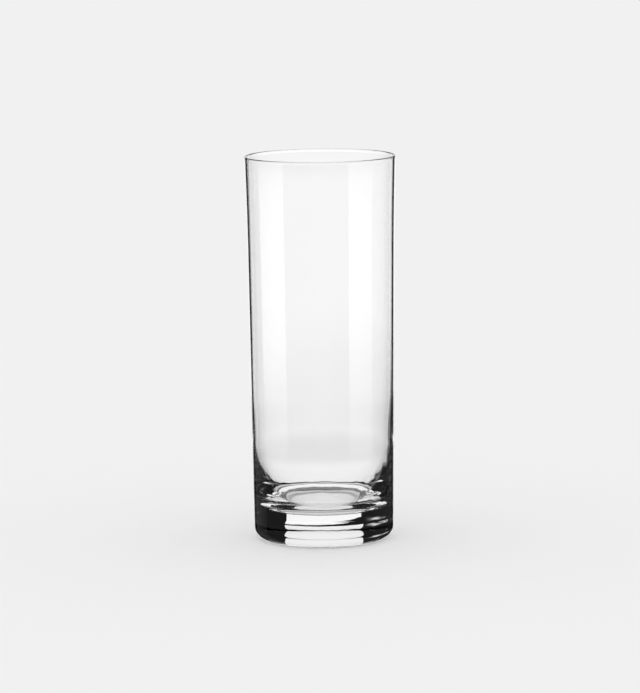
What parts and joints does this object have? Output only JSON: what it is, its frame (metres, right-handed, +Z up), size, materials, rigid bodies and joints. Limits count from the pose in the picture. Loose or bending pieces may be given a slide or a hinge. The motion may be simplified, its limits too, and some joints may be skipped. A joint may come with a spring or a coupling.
{
  "type": "highball glass",
  "caption": "Tall clear drinking glass with a thin, slightly flared wall, a rounded rim and a thick solid base with a rounded heel, for long drinks.",
  "frame": {"origin": "centre of the ring that the glass stands on, on the table", "axes": "+Z up along the glass's axis, from the base to the rim; X and Y are free, because the glass is round"},
  "size_m": [0.0624, 0.0624, 0.16],
  "materials": {
    "clear_glass": "clear, fire-polished"
  },
  "bodies": {
    "root": {"tumbler": "clear_glass"}
  },
  "joints": []
}
